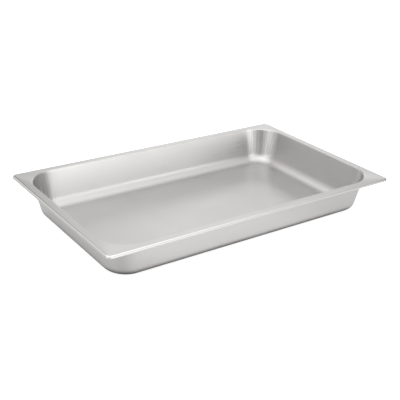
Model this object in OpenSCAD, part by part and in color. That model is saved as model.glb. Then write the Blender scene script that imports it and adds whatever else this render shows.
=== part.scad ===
// Deli food pan: one deep-drawn sheet with a flat flange, a turned-down edge and sloping walls.
// Millimetres. The origin is on the underside of the floor, at its middle.
// X runs along the length, Y across the width and Z up.

/* [Pan] */
// Overall length over the flange
pan_l = 527; // [450:1:600]
// Overall width over the flange
pan_w = 324; // [260:1:400]
// Overall height, from the underside to the top of the flange
pan_h = 60; // [50:1:150]
// Thickness of the sheet
sheet = 0.8; // [0.6:0.1:1.2]

/* [Flange] */
// Plan radius of the flange's outer corners
flange_corner_r = 9; // [6:0.5:16]
// Outside radius of the turned-down edge
edge_r = 3.2; // [2:0.1:4]
// Straight drop below the turned-down bend
edge_lip = 0.6; // [0.4:0.1:2]
// Distance from the outer edge to where the flange rolls over into the mouth
flange_w = 12.9; // [10:0.1:16]
// Radius of the roll-over at the mouth
mouth_r = 2.2; // [1.6:0.1:5]

/* [Bowl] */
// Slope of the walls, from the vertical
wall_draft = 13; // [3:0.5:15]
// Inside radius where the walls meet the floor
floor_r = 18; // [8:1:20]
// Plan distance from the outer edge to the centre that each corner turns about
corner_c = 64; // [60:1:70]

/* [Hidden] */
$fn = 96;

// Mouth roll-over: centre of its bend in the section, as inset and height
mouth_s = flange_w;
mouth_z = pan_h - mouth_r;
// Food side of the wall where the roll-over ends
wall_top_s = mouth_s + mouth_r * cos(wall_draft);
wall_top_z = mouth_z + mouth_r * sin(wall_draft);
// Food side of the wall where the floor fillet starts
wall_foot_z = sheet + floor_r * (1 - sin(wall_draft));
wall_foot_s = wall_top_s + (wall_top_z - wall_foot_z) * tan(wall_draft);
// Floor fillet: centre of its bend in the section
fillet_s = wall_foot_s + floor_r * cos(wall_draft);
fillet_z = sheet + floor_r;
// Step from the food side of the wall to its outer side
skin_s = sheet * cos(wall_draft);
skin_z = sheet * sin(wall_draft);

// A bend of the sheet: part of a flat ring, from angle a0 to a1, with outside radius r
module bend(r, a0, a1) {
    reach = 2 * r;
    mid = (a0 + a1) / 2;
    intersection() {
        difference() {
            circle(r);
            circle(r - sheet);
        }
        polygon([
            [0, 0],
            [reach * cos(a0), reach * sin(a0)],
            [reach * cos(mid), reach * sin(mid)],
            [reach * cos(a1), reach * sin(a1)]
        ]);
    }
}

// Section of the turned-down edge: x is the inset from the outer edge, y the height
module edge_section() {
    translate([edge_r, pan_h - edge_r])
        bend(edge_r, 90, 180);
    translate([0, pan_h - edge_r - edge_lip])
        square([sheet, edge_lip]);
}

// Section of the mouth roll-over, the sloping wall and the floor fillet
module wall_section() {
    translate([mouth_s, mouth_z])
        bend(mouth_r, wall_draft, 90);
    polygon([
        [wall_top_s, wall_top_z],
        [wall_foot_s, wall_foot_z],
        [wall_foot_s - skin_s, wall_foot_z - skin_z],
        [wall_top_s - skin_s, wall_top_z - skin_z]
    ]);
    translate([fillet_s, fillet_z])
        bend(floor_r + sheet, 180 + wall_draft, 270);
}

// Carries a section round the pan: four straight sides and four corners that turn about inset c
module sweep_round(c) {
    for (i = [0:3]) {
        half_run = (i % 2 == 0 ? pan_l : pan_w) / 2 - c;
        reach = (i % 2 == 0 ? pan_w : pan_l) / 2;
        rotate([0, 0, 90 * i]) {
            translate([-half_run, -reach, 0])
                rotate([90, 0, 90])
                linear_extrude(2 * half_run)
                children();
            translate([half_run, c - reach, 0])
                rotate([0, 0, -90])
                rotate_extrude(angle = 90)
                translate([c, 0])
                mirror([1, 0])
                children();
        }
    }
}

// The pan's outline drawn in by an inset, with round corners
module outline(inset, r) {
    l = pan_l - 2 * inset;
    w = pan_w - 2 * inset;
    square([l - 2 * r, w], center = true);
    square([l, w - 2 * r], center = true);
    for (x = [-1, 1], y = [-1, 1])
        translate([x * (l / 2 - r), y * (w / 2 - r)])
            circle(r);
}

// Flat top of the flange, open over the bowl
module flange_plate() {
    translate([0, 0, pan_h - sheet])
        linear_extrude(sheet)
        difference() {
            outline(edge_r, flange_corner_r - edge_r);
            outline(mouth_s, corner_c - mouth_s);
        }
}

// Flat floor inside the fillet
module floor_plate() {
    linear_extrude(sheet)
        outline(fillet_s, corner_c - fillet_s);
}

module pan() {
    color("silver") {
        sweep_round(flange_corner_r)
            edge_section();
        flange_plate();
        sweep_round(corner_c)
            wall_section();
        floor_plate();
    }
}

pan();
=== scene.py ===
"""Deli food pan: a satin steel sheet pressed into a shallow bowl with a flat flange.

The pan is one fine mesh that stands for the CAD node "pan". Everything is in metres.
"""

import math

import bpy
from mathutils import Matrix, Vector


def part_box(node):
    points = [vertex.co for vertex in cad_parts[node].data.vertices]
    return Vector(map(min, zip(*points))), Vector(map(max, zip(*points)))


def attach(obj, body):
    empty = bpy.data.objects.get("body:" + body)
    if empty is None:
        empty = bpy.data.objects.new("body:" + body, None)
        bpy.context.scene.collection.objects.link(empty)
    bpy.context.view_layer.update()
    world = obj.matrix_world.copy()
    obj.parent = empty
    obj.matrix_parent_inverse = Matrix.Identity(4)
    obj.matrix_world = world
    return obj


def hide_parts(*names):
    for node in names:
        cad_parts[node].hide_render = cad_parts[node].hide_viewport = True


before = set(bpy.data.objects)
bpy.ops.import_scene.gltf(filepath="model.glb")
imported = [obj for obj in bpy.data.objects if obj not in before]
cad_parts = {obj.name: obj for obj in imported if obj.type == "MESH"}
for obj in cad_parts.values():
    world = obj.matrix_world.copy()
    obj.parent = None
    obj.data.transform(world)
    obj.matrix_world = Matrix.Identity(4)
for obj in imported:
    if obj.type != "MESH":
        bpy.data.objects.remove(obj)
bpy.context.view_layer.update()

# ---------------------------------------------------------------- sizes
LOW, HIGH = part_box("pan")
HALF_L = (HIGH.x - LOW.x) / 2
HALF_W = (HIGH.y - LOW.y) / 2
RIM_Z = HIGH.z
BASE_Z = LOW.z

# The sheet's section, as in the CAD source
SHEET = 0.0008
FLANGE_CORNER = 0.009
EDGE_R = 0.0032
EDGE_LIP = 0.0006
FLANGE_W = 0.0129
MOUTH_R = 0.0022
WALL_DRAFT = math.radians(13)
FLOOR_R = 0.018
BOWL_CORNER = 0.064

# Where its bends and its wall lie, as inset from the outer edge and as height
MOUTH_Z = RIM_Z - MOUTH_R
WALL_TOP_INSET = FLANGE_W + MOUTH_R * math.cos(WALL_DRAFT)
WALL_TOP_Z = MOUTH_Z + MOUTH_R * math.sin(WALL_DRAFT)
FILLET_Z = BASE_Z + SHEET + FLOOR_R
WALL_FOOT_Z = FILLET_Z - FLOOR_R * math.sin(WALL_DRAFT)
WALL_FOOT_INSET = WALL_TOP_INSET + (WALL_TOP_Z - WALL_FOOT_Z) * math.tan(WALL_DRAFT)
FILLET_INSET = WALL_FOOT_INSET + FLOOR_R * math.cos(WALL_DRAFT)

# Inset, to a tenth of a millimetre, and corner radius of the foot, where the fillet ends
FOOT_INSET = round(FILLET_INSET, 4)
FOOT_CORNER = BOWL_CORNER - FOOT_INSET

# How finely the mesh follows it: points along each side and corner, steps round each bend, and
# where the loops lie across each straight stretch
SIDE_STEPS = {"long": 44, "short": 28}
CORNER_STEPS = 20
BEND_STEPS = {"edge": 10, "mouth": 8, "fillet": 18}
LIP_LOOPS = (0, 0.2, 0.6)
FLANGE_LOOPS = (0.05, 0.2, 0.4, 0.6, 0.8, 0.95)
WALL_LOOPS = (0.02, 0.1, 0.25, 0.4, 0.55, 0.7, 0.85, 0.95)
FLOOR_LOOPS = (0.05, 0.15, 0.3, 0.5, 0.75)
# How far the grid in the middle of the floor reaches past the corners' centres
GRID_MARGIN = 0.004

# Height of the floor's crown and of the ripples on it
CROWN = 0.0005
RIPPLE = 0.0002
# Two waves make the ripples. The straight one has its share, then turn and phase along the floor
# and turn and phase across it. The slanting one has its share, both turns and one phase.
STRAIGHT_WAVE = (0.6, 5.1, 0.7, 3.7, 1.9)
SLANTING_WAVE = (0.4, 8.3, -2.1, 0.4)
# How far the floor steps up just inside the foot, and over what distance
CREASE = 0.0003
CREASE_WIDTH = 0.009
# The waves move only points below this height, which are the floor's
FLOOR_TOP = BASE_Z + 0.002

# ---------------------------------------------------------------- section


def arc(centre_s, centre_z, radius, start, end, steps, corner):
    """Points on a bend of the section, each (inset, height, corner centre)."""
    points = []
    for i in range(steps + 1):
        angle = math.radians(start + (end - start) * i / steps)
        inset = centre_s + radius * math.cos(angle)
        height = centre_z + radius * math.sin(angle)
        points.append((inset, height, corner))
    return points


def between(a, b, shares):
    """Points on a straight stretch of the section from a to b."""
    return [tuple(p + (q - p) * t for p, q in zip(a, b)) for t in shares]


def skin(depth):
    """One skin of the sheet, from the lip to the foot, at that depth below the food side."""
    draft = math.degrees(WALL_DRAFT)
    steps = BEND_STEPS
    edge_z = RIM_Z - EDGE_R
    edge = arc(EDGE_R, edge_z, EDGE_R - depth, 180, 90, steps["edge"], FLANGE_CORNER)
    mouth = arc(FLANGE_W, MOUTH_Z, MOUTH_R - depth, 90, draft, steps["mouth"], BOWL_CORNER)
    radius = FLOOR_R + depth
    fillet = arc(FILLET_INSET, FILLET_Z, radius, 180 + draft, 270, steps["fillet"], BOWL_CORNER)
    lip = (edge[0][0], edge_z - EDGE_LIP, FLANGE_CORNER)
    return {
        "lip": between(lip, edge[0], LIP_LOOPS),
        "edge": edge,
        "mouth": mouth,
        "wall": between(mouth[-1], fillet[0], WALL_LOOPS),
        "fillet": fillet,
    }


# ---------------------------------------------------------------- rings


def ring(inset, height, corner):
    """A closed loop at that inset and height, with corners that turn about the inset `corner`."""
    radius = corner - inset
    points = []
    sides = [(HALF_L, HALF_W, "short"), (HALF_W, HALF_L, "long")] * 2
    for quarter, (reach, half, name) in enumerate(sides):
        turn = Matrix.Rotation(math.radians(90 * quarter), 2)
        run = half - corner
        steps = SIDE_STEPS[name]
        for i in range(steps):
            points.append(turn @ Vector((reach - inset, -run + 2 * run * i / steps)))
        for i in range(CORNER_STEPS):
            angle = math.radians(90 * i / CORNER_STEPS)
            out = Vector((math.cos(angle), math.sin(angle))) * radius
            points.append(turn @ (Vector((reach - corner, run)) + out))
    return [Vector((p.x, p.y, height)) for p in points]


def mix(a, b, share):
    """A loop part of the way from loop a to loop b."""
    return [p.lerp(q, share) for p, q in zip(a, b)]


def floor_grid(z):
    """The floor's middle: rows of points whose rim has as many points as a ring."""
    half_x = HALF_L - BOWL_CORNER + GRID_MARGIN
    half_y = HALF_W - BOWL_CORNER + GRID_MARGIN
    across = SIDE_STEPS["short"] + CORNER_STEPS
    along = SIDE_STEPS["long"] + CORNER_STEPS
    return [
        [
            Vector((half_x * (2 * i / along - 1), half_y * (2 * j / across - 1), z))
            for i in range(along + 1)
        ]
        for j in range(across + 1)
    ]


def grid_rim(rows):
    """The rim of a grid in the order in which ring() walks, as (row, column)."""
    last_row, last_col = len(rows) - 1, len(rows[0]) - 1
    half = CORNER_STEPS // 2
    walk = [(j, last_col) for j in range(0, last_row)]
    walk += [(last_row, i) for i in range(last_col, 0, -1)]
    walk += [(j, 0) for j in range(last_row, 0, -1)]
    walk += [(0, i) for i in range(0, last_col)]
    return walk[half:] + walk[:half]


# ---------------------------------------------------------------- sheet waves


def inside_foot(p):
    """Distance of p inside the foot of the walls, good for the band next to it."""
    past_x = max(0.0, abs(p.x) - (HALF_L - FOOT_INSET - FOOT_CORNER))
    past_y = max(0.0, abs(p.y) - (HALF_W - FOOT_INSET - FOOT_CORNER))
    return max(0.0, FOOT_CORNER - math.hypot(past_x, past_y))


def sheet_wave(p):
    """How far the floor rises above flat at p: a crease along the foot, a low crown and ripples."""
    left = max(0.0, 1 - inside_foot(p) / CREASE_WIDTH)
    crease = CREASE * (1 - left * left)
    u = p.x / (HALF_L - BOWL_CORNER)
    v = p.y / (HALF_W - BOWL_CORNER)
    inside = max(0.0, 1 - u * u) * max(0.0, 1 - v * v)
    share, turn_u, phase_u, turn_v, phase_v = STRAIGHT_WAVE
    ripple = share * math.sin(turn_u * u + phase_u) * math.sin(turn_v * v + phase_v)
    share, turn_u, turn_v, phase = SLANTING_WAVE
    ripple += share * math.sin(turn_u * u + turn_v * v + phase)
    return crease + inside * (CROWN + RIPPLE * ripple)


# ---------------------------------------------------------------- mesh


class Builder:
    """Collects points, faces and each face corner's place on the sheet, in metres."""

    def __init__(self):
        self.points = []
        self.faces = []
        self.places = []

    def add_points(self, points):
        start = len(self.points)
        self.points.extend(points)
        return list(range(start, len(self.points)))

    def add_face(self, corners, places, flip):
        if flip:
            corners = corners[::-1]
            places = places[::-1]
        self.faces.append(corners)
        self.places.append(places)

    def bridge(self, a, b, places_a, places_b, flip):
        """Quads between two loops. Each list of places has one more, where the loop closes."""
        for k in range(len(a)):
            n = (k + 1) % len(a)
            places = [places_a[k], places_a[k + 1], places_b[k + 1], places_b[k]]
            self.add_face([a[k], a[n], b[n], b[k]], places, flip)

    def flat_place(self, number):
        return (self.points[number].x, self.points[number].y)

    def flat_places(self, loop):
        return [self.flat_place(number) for number in loop + loop[:1]]


def way_round():
    """Each point's distance along the mouth, from the start of the loop back to it."""
    loop = ring(FLANGE_W, RIM_Z, BOWL_CORNER)
    total = [0.0]
    for k in range(len(loop)):
        total.append(total[-1] + (loop[(k + 1) % len(loop)] - loop[k]).length)
    return total


AROUND = way_round()


def add_skin(build, depth, flip):
    """Adds one skin of the sheet and returns its lip loop."""
    parts = skin(depth)
    edge_end = ring(*parts["edge"][-1])
    mouth_start = ring(*parts["mouth"][0])
    loops = [ring(*p) for p in parts["lip"] + parts["edge"]]
    loops += [mix(edge_end, mouth_start, t) for t in FLANGE_LOOPS]
    loops += [ring(*p) for p in parts["mouth"] + parts["wall"] + parts["fillet"]]
    numbers = [build.add_points(loop) for loop in loops]
    down = 0.0
    for i in range(len(loops) - 1):
        step = (loops[i + 1][0] - loops[i][0]).length
        upper = [(u, down) for u in AROUND]
        lower = [(u, down + step) for u in AROUND]
        build.bridge(numbers[i], numbers[i + 1], upper, lower, flip)
        down += step
    add_floor(build, loops[-1], numbers[-1], flip)
    return numbers[0]


def add_floor(build, foot, foot_numbers, flip):
    """Adds the flat floor inside the foot. Its places are simply x and y."""
    rows = floor_grid(foot[0].z)
    rim = [rows[j][i] for j, i in grid_rim(rows)]
    grid = [build.add_points(row) for row in rows]
    numbers = [foot_numbers]
    numbers += [build.add_points(mix(foot, rim, t)) for t in FLOOR_LOOPS]
    numbers.append([grid[j][i] for j, i in grid_rim(rows)])
    for a, b in zip(numbers, numbers[1:]):
        build.bridge(a, b, build.flat_places(a), build.flat_places(b), flip)
    for j in range(len(rows) - 1):
        for i in range(len(rows[0]) - 1):
            corners = [grid[j][i], grid[j][i + 1], grid[j + 1][i + 1], grid[j + 1][i]]
            build.add_face(corners, [build.flat_place(c) for c in corners], flip)


def build_pan():
    """The whole pan as one closed mesh, with the unrolled sheet as its UV map."""
    build = Builder()
    food_lip = add_skin(build, 0.0, False)
    under_lip = add_skin(build, SHEET, True)
    outer = [(u, -SHEET) for u in AROUND]
    inner = [(u, 0.0) for u in AROUND]
    build.bridge(under_lip, food_lip, outer, inner, False)
    for p in build.points:
        if p.z < FLOOR_TOP:
            p.z += sheet_wave(p)
    mesh = bpy.data.meshes.new("pan_sheet")
    mesh.from_pydata(build.points, [], build.faces)
    layer = mesh.uv_layers.new(name="sheet")
    flat = [c for place in build.places for uv in place for c in uv]
    layer.data.foreach_set("uv", flat)
    mesh.shade_smooth()
    mesh.update()
    pan = bpy.data.objects.new("pan_body", mesh)
    bpy.context.collection.objects.link(pan)
    return pan


# ---------------------------------------------------------------- nodes


class Graph:
    """Short calls for building a node tree."""

    def __init__(self, tree):
        self.tree = tree

    def link(self, value, socket):
        """Feeds a socket from another socket, or sets it to a plain value."""
        if isinstance(value, bpy.types.NodeSocket):
            self.tree.links.new(value, socket)
        else:
            socket.default_value = value

    def add(self, kind, inputs=None, out=0, **settings):
        """Adds a node, fills its inputs and returns one output socket."""
        node = self.tree.nodes.new("ShaderNode" + kind)
        for name, value in settings.items():
            setattr(node, name, value)
        for name, value in (inputs or {}).items():
            self.link(value, node.inputs[name])
        return node.outputs[out]

    def math(self, operation, *values):
        return self.add("Math", dict(enumerate(values)), operation=operation)

    def split(self, vector):
        """The three parts of a vector."""
        first = self.add("SeparateXYZ", {0: vector})
        return first.node.outputs

    def ramp(self, value, low, high, to_low, to_high):
        """A smooth change from to_low to to_high as value goes from low to high."""
        inputs = {"Value": value, 1: low, 2: high, 3: to_low, 4: to_high}
        return self.add("MapRange", inputs, interpolation_type="SMOOTHSTEP")

    def blend(self, share, a, b, way="MIX"):
        """Colour a where share is 0 and, where it is 1, colour b or both combined in that way."""
        inputs = {"Factor": share, 6: a, 7: b}
        return self.add("Mix", inputs, out=2, data_type="RGBA", blend_type=way)

    def shade(self, inputs):
        """Fills inputs of the material's shader."""
        shader = self.tree.nodes["Principled BSDF"]
        for name, value in inputs.items():
            self.link(value, shader.inputs[name])


# ---------------------------------------------------------------- material


# Noises on the sheet: size round the pan and size down the sheet, in metres, and detail
SHEET_NOISES = {
    "grain": (0.035, 0.0006, 3),
    "brush": (0.120, 0.004, 4),
    "draw_and_shade": (0.0016, 0.060, 3),
}
CLOUD_SIZE = 0.070
CLOUD_DETAIL = 4
NOISE_ROUGHNESS = 0.6

# Bare steel lies between dark and light by a tone made of these shares of the noises
STEEL_DARK = (0.572, 0.563, 0.556, 1)
STEEL_LIGHT = (0.652, 0.643, 0.636, 1)
TONE_SHARES = {"brush": 0.45, "cloud": 0.35, "grain": 0.20}
# A painted reflection that makes the pan's floor a little darker and cooler, and that fades out
# between these heights
FLOOR_REFLECTION_TINT = (0.958, 0.962, 0.968, 1)
TINT_ENDS = (BASE_Z + 0.0015, BASE_Z + 0.0035)

# The draw marks in the corners, darkened as painted shade: their colour, and the values of their
# noise where one starts and is full
STEEL_DRAWN_SHADE = (0.455, 0.448, 0.442, 1)
SHADED_MARK_EDGE = (0.38, 0.62)
# Where they fade in: from the ends of the straight walls, above the floor and below the rim
CORNER_EDGE = (-0.015, 0.020)
ABOVE_FLOOR = (BASE_Z + 0.002, BASE_Z + 0.020)
BELOW_RIM = (RIM_Z - 0.003, RIM_Z - 0.001)

# The fold of the outer edge, worn smooth and given a painted highlight between these distances
# from the lip. The heights keep it off the pan's floor, where the UV map holds x and y instead.
STEEL_WORN_HIGHLIGHT = (0.850, 0.842, 0.834, 1)
WORN_HIGHLIGHT_STARTS = (0.0032, 0.0040)
WORN_HIGHLIGHT_ENDS = (0.0052, 0.0060)
WORN_HIGHLIGHT_HEIGHT = (RIM_Z - 0.005, RIM_Z - 0.004)
WORN_ROUGHNESS = 0.12

# The roughness is a sum with one part for each noise. As the noise goes between the first two
# values, the part goes from the third to the fourth.
ROUGHNESS_PARTS = {
    "grain": (0.25, 0.75, -0.02, 0.02),
    "brush": (0.3, 0.7, -0.015, 0.015),
    "cloud": (0.3, 0.7, 0.29, 0.35),
}

# The grain's share of the relief beside the draw marks, the depth of both in metres, and how
# strongly it shows
GRAIN_RELIEF = 0.10
RELIEF_DEPTH = 0.00015
RELIEF_STRENGTH = 0.5

# How much the grain stretches reflections, and the turn of that stretch, where 1 is a full turn
ANISOTROPY = 0.8
ANISOTROPY_TURN = 0.25


def noise(graph, place, scale, detail):
    """Smooth noise between 0 and 1 on a place in metres, stretched by a scale for each axis."""
    vector = graph.add("VectorMath", {0: place, 1: scale}, operation="MULTIPLY")
    inputs = {"Vector": vector, "Scale": 1.0, "Detail": detail, "Roughness": NOISE_ROUGHNESS}
    return graph.add("TexNoise", inputs)


def wrapped_place(graph):
    """The place on the sheet with its way round bent into a ring, so that the grain has no seam."""
    u, v, _ = graph.split(graph.add("UVMap", uv_map="sheet"))
    radius = AROUND[-1] / (2 * math.pi)
    angle = graph.math("DIVIDE", u, radius)
    x = graph.math("MULTIPLY", graph.math("COSINE", angle), radius)
    y = graph.math("MULTIPLY", graph.math("SINE", angle), radius)
    return graph.add("CombineXYZ", {0: x, 1: y, 2: v})


def corner_share(graph, local):
    """1 on the bowl's corner walls, falling to 0 along the straight walls, the rim and the floor."""
    x, y, z = graph.split(local)
    share = 1.0
    for part, half in ((x, HALF_L), (y, HALF_W)):
        reach = graph.math("ABSOLUTE", part)
        start, full = (half - BOWL_CORNER + edge for edge in CORNER_EDGE)
        share = graph.math("MULTIPLY", share, graph.ramp(reach, start, full, 0, 1))
    above_floor = graph.ramp(z, *ABOVE_FLOOR, 0, 1)
    below_rim = graph.ramp(z, *BELOW_RIM, 1, 0)
    return graph.math("MULTIPLY", share, graph.math("MULTIPLY", above_floor, below_rim))


def food_side(graph, local):
    """1 where the sheet faces the middle of the pan and 0 where it faces outwards."""
    normal = graph.add("TexCoord", out="Normal")
    level = graph.add("VectorMath", {0: local, 1: (1, 1, 0)}, operation="MULTIPLY")
    outwards = graph.add("VectorMath", {0: normal, 1: level}, out="Value", operation="DOT_PRODUCT")
    return graph.math("LESS_THAN", outwards, 0.0)


def worn_share(graph, local):
    """1 along the top of the fold at the outer edge, where pans rub on one another, else 0. There
    the fold is worn smooth and has a painted highlight.
    """
    down = graph.split(graph.add("UVMap", uv_map="sheet"))[1]
    z = graph.split(local)[2]
    starts = graph.ramp(down, *WORN_HIGHLIGHT_STARTS, 0, 1)
    ends = graph.ramp(down, *WORN_HIGHLIGHT_ENDS, 1, 0)
    share = graph.math("MULTIPLY", starts, ends)
    return graph.math("MULTIPLY", share, graph.ramp(z, *WORN_HIGHLIGHT_HEIGHT, 0, 1))


def total(graph, parts):
    """The sum of (value, weight) pairs."""
    result = 0.0
    for value, weight in parts:
        result = graph.math("ADD", result, graph.math("MULTIPLY", value, weight))
    return result


def steel_patterns(graph):
    """The noises and the masks, by name, from which the steel's looks are made."""
    place = wrapped_place(graph)
    local = graph.add("TexCoord", out="Object")
    patterns = {}
    for name, (size_round, size_down, detail) in SHEET_NOISES.items():
        scale = (1 / size_round, 1 / size_round, 1 / size_down)
        patterns[name] = noise(graph, place, scale, detail)
    patterns["cloud"] = noise(graph, local, (1 / CLOUD_SIZE,) * 3, CLOUD_DETAIL)
    corners = corner_share(graph, local)
    # The corners' food side, where the draw marks lie and painted shade darkens them
    patterns["scored"] = graph.math("MULTIPLY", corners, food_side(graph, local))
    # The worn fold, which also gets a painted highlight
    patterns["worn"] = worn_share(graph, local)
    # Where the floor's painted reflection tint shows
    patterns["floor"] = graph.ramp(graph.split(local)[2], *TINT_ENDS, 1, 0)
    return patterns


def steel_colour(graph, patterns):
    """Uneven grey, with a painted reflection that darkens and cools the floor, a painted highlight
    where worn and painted shade along the draw marks.
    """
    tone = total(graph, [(patterns[name], share) for name, share in TONE_SHARES.items()])
    colour = graph.blend(tone, STEEL_DARK, STEEL_LIGHT)
    # Painted reflection: the floor a little darker and cooler
    colour = graph.blend(patterns["floor"], colour, FLOOR_REFLECTION_TINT, "MULTIPLY")
    # Painted highlight: the worn fold paler than the steel round it
    colour = graph.blend(patterns["worn"], colour, STEEL_WORN_HIGHLIGHT)
    # Painted shade: darker streaks along the draw marks in the corners
    marks_and_shade = graph.ramp(patterns["draw_and_shade"], *SHADED_MARK_EDGE, 0, 1)
    marks_and_shade = graph.math("MULTIPLY", patterns["scored"], marks_and_shade)
    return graph.blend(marks_and_shade, colour, STEEL_DRAWN_SHADE)


def steel_roughness(graph, patterns):
    """Uneven satin, smooth where worn."""
    parts = [(graph.ramp(patterns[name], *span), 1.0) for name, span in ROUGHNESS_PARTS.items()]
    rough = total(graph, parts)
    return graph.add("Mix", {"Factor": patterns["worn"], "A": rough, "B": WORN_ROUGHNESS})


def steel_relief(graph, patterns):
    """A faint grain everywhere and draw marks in the corners."""
    marks_and_shade = graph.math("MULTIPLY", patterns["draw_and_shade"], patterns["scored"])
    height = total(graph, [(patterns["grain"], GRAIN_RELIEF), (marks_and_shade, 1.0)])
    inputs = {"Strength": RELIEF_STRENGTH, "Distance": RELIEF_DEPTH, "Height": height}
    return graph.add("Bump", inputs)


def steel():
    """Satin stainless steel, with a grain along the sheet and draw marks in the corners, partly
    painted shade.
    """
    material = bpy.data.materials.new("satin_steel")
    material.use_nodes = True
    graph = Graph(material.node_tree)
    patterns = steel_patterns(graph)
    graph.shade(
        {
            "Base Color": steel_colour(graph, patterns),
            "Roughness": steel_roughness(graph, patterns),
            "Normal": steel_relief(graph, patterns),
            "Tangent": graph.add("Tangent", direction_type="UV_MAP", uv_map="sheet"),
            "Metallic": 1.0,
            "Anisotropic": ANISOTROPY,
            "Anisotropic Rotation": ANISOTROPY_TURN,
        }
    )
    return material


# ---------------------------------------------------------------- stage, light and camera


# The table: its size, colour and roughness
TABLE_SIZE = 80
TABLE_COLOUR = (0.22, 0.22, 0.22, 1)
TABLE_ROUGHNESS = 0.8
# Its glow in the pan's shade and out of it, the azimuth towards which the shade clears and the
# distances that way over which it does
TABLE_SHADE = 0.52
TABLE_GLOW = 0.84
TABLE_AZIMUTH = 40
SHADE_EDGE = (-0.05, 0.04)
# The distances that way over which the glow falls off again, and the share that is left
FAR_EDGE = (0.15, 0.27)
FAR_SHARE = 0.74
# How far outside the pan's foot the glow starts and is full
FOOT_GAP = (0.012, 0.030)
# What the camera sees on top of the glow
TABLE_LIFT = 0.9


def past_foot(graph, x, y):
    """Distance of a table point outside the pan's foot, a rectangle with round corners."""
    parts = []
    for part, half in ((x, HALF_L), (y, HALF_W)):
        middle = half - FOOT_INSET - FOOT_CORNER
        past = graph.math("SUBTRACT", graph.math("ABSOLUTE", part), middle)
        parts.append(graph.math("MAXIMUM", past, 0.0))
    squares = [graph.math("MULTIPLY", part, part) for part in parts]
    return graph.math("SUBTRACT", graph.math("SQRT", graph.math("ADD", *squares)), FOOT_CORNER)


def table_glow(graph):
    """How strongly the table glows."""
    x, y, _ = graph.split(graph.add("TexCoord", out="Object"))
    way = math.radians(TABLE_AZIMUTH)
    right = graph.math("MULTIPLY", x, math.sin(way))
    back = graph.math("MULTIPLY", y, math.cos(way))
    along = graph.math("SUBTRACT", right, back)
    glow = graph.ramp(along, *SHADE_EDGE, TABLE_SHADE, TABLE_GLOW)
    glow = graph.math("MULTIPLY", glow, graph.ramp(along, *FAR_EDGE, 1, FAR_SHARE))
    glow = graph.math("MULTIPLY", glow, graph.ramp(past_foot(graph, x, y), *FOOT_GAP, 0, 1))
    to_camera = graph.add("LightPath", out="Is Camera Ray")
    return graph.math("ADD", glow, graph.math("MULTIPLY", to_camera, TABLE_LIFT))


def make_table():
    """A dark grey table that glows, except under the pan, and that the camera sees as white."""
    bpy.ops.mesh.primitive_plane_add(size=TABLE_SIZE, location=(0, 0, BASE_Z))
    table = bpy.context.object
    table.name = "floor"
    material = bpy.data.materials.new("pale_floor")
    material.use_nodes = True
    graph = Graph(material.node_tree)
    graph.shade(
        {
            "Base Color": TABLE_COLOUR,
            "Roughness": TABLE_ROUGHNESS,
            "Emission Color": (1, 1, 1, 1),
            "Emission Strength": table_glow(graph),
        }
    )
    table.data.materials.append(material)


# The studio: a bright ceiling over a dimmer room, soft lights and dark flags.
# Azimuth 0 is in front of the pan and 90 on its right. Angles are in degrees.
# A scratch program fitted most of these values to the brightness of the photograph. They are
# rounded, and some were then changed by hand, as report.md says.
CEILING = 1.64
ROOM = 0.96
CEILING_STARTS = 33
CEILING_FULL = 66
# Each has azimuth, elevation, half width, half height and strength
SOFT_LIGHTS = {
    "key": (17, 7, 28, 21, 2.05),
    "back_right": (145, 23, 23, 7, 1.5),
    "high_right": (129, 46, 9, 5, 0.9),
    "left": (277, 18, 24, 18, 0.87),
    "high_left": (293, 65, 57, 22, 0.47),
    "front_fill": (340, 42, 29, 20, 0.13),
}
FLAGS = {
    "right": (94, 25, 47, 31, 0.77),
    "back": (168, 27, 14, 12, 0.98),
    "camera": (321, 7, 19, 16, 0.77),
    "back_left": (247, 36, 21, 13, 0.33),
    "low_left": (236, 12, 16, 17, 0.42),
    "overhead": (0, 90, 180, 18, 0.35),
}


def soft_spot(graph, azimuth, elevation, spot):
    """1 in the middle of a soft light or flag, falling smoothly to nothing round it."""
    at, height, half_width, half_height, _ = spot
    turn = graph.math("COSINE", graph.math("SUBTRACT", azimuth, math.radians(at)))
    sharp = 1 / (1 - math.cos(math.radians(half_width)))
    across = graph.math("MULTIPLY", graph.math("SUBTRACT", turn, 1), sharp)
    rise = graph.math("SUBTRACT", elevation, math.radians(height))
    rise = graph.math("DIVIDE", rise, math.radians(half_height))
    upright = graph.math("MULTIPLY", rise, rise)
    return graph.math("EXPONENT", graph.math("SUBTRACT", across, upright))


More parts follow.
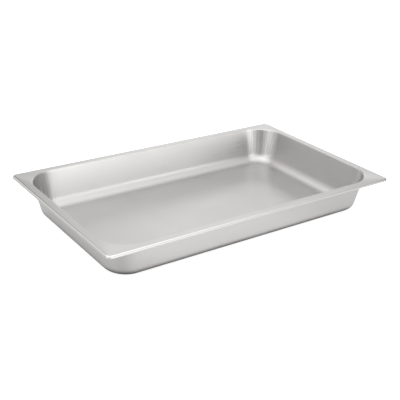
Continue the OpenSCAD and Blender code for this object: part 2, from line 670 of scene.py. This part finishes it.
def make_world():
    """A white studio with soft lights and flags. The camera sees plain white past the table."""
    world = bpy.data.worlds.new("studio")
    bpy.context.scene.world = world
    world.use_nodes = True
    graph = Graph(world.node_tree)
    x, y, z = graph.split(graph.add("TexCoord", out="Generated"))
    azimuth = graph.math("ARCTAN2", x, graph.math("MULTIPLY", y, -1))
    elevation = graph.math("ARCSINE", z)
    starts, full = math.radians(CEILING_STARTS), math.radians(CEILING_FULL)
    light = graph.ramp(elevation, starts, full, ROOM, CEILING)
    for spot in SOFT_LIGHTS.values():
        added = graph.math("MULTIPLY", soft_spot(graph, azimuth, elevation, spot), spot[-1])
        light = graph.math("ADD", light, added)
    for spot in FLAGS.values():
        kept = graph.math("MULTIPLY", soft_spot(graph, azimuth, elevation, spot), -spot[-1])
        light = graph.math("MULTIPLY", light, graph.math("ADD", kept, 1))
    to_camera = graph.add("LightPath", out="Is Camera Ray")
    light = graph.add("Mix", {"Factor": to_camera, "A": light, "B": 1.0})
    background = world.node_tree.nodes["Background"]
    background.inputs["Color"].default_value = (1, 1, 1, 1)
    graph.link(light, background.inputs["Strength"])


# Where the camera stands, seen from the point it looks at. Angles are in degrees, the lens and
# the sensor in millimetres. A scratch program fitted these to the photograph's outline.
CAMERA_AZIMUTH = -35.52
CAMERA_ELEVATION = 24.49
CAMERA_ROLL = 2.11
CAMERA_DISTANCE = 1.2646
CAMERA_AIM = Vector((-0.0118, -0.0112, RIM_Z - 0.0350))
CAMERA_LENS = 69.83
CAMERA_SENSOR = 36


def make_camera():
    """The camera in front of the pan and to its left, looking down on it."""
    azimuth = math.radians(CAMERA_AZIMUTH)
    elevation = math.radians(CAMERA_ELEVATION)
    roll = math.radians(CAMERA_ROLL)
    level = math.cos(elevation)
    back = Vector((math.sin(azimuth) * level, -math.cos(azimuth) * level, math.sin(elevation)))
    right = Vector((math.cos(azimuth), math.sin(azimuth), 0))
    up = back.cross(right)
    side = right * math.cos(roll) + up * math.sin(roll)
    top = up * math.cos(roll) - right * math.sin(roll)
    data = bpy.data.cameras.new("camera")
    data.sensor_width = CAMERA_SENSOR
    data.lens = CAMERA_LENS
    camera = bpy.data.objects.new("camera", data)
    bpy.context.collection.objects.link(camera)
    turn = Matrix((side, top, back)).transposed()
    camera.matrix_world = Matrix.Translation(CAMERA_AIM + back * CAMERA_DISTANCE) @ turn.to_4x4()
    bpy.context.scene.camera = camera


# ---------------------------------------------------------------- scene
pan = build_pan()
pan.data.materials.append(steel())
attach(pan, "root")
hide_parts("pan")

make_table()
make_world()
make_camera()
bpy.context.scene.view_settings.view_transform = "Standard"
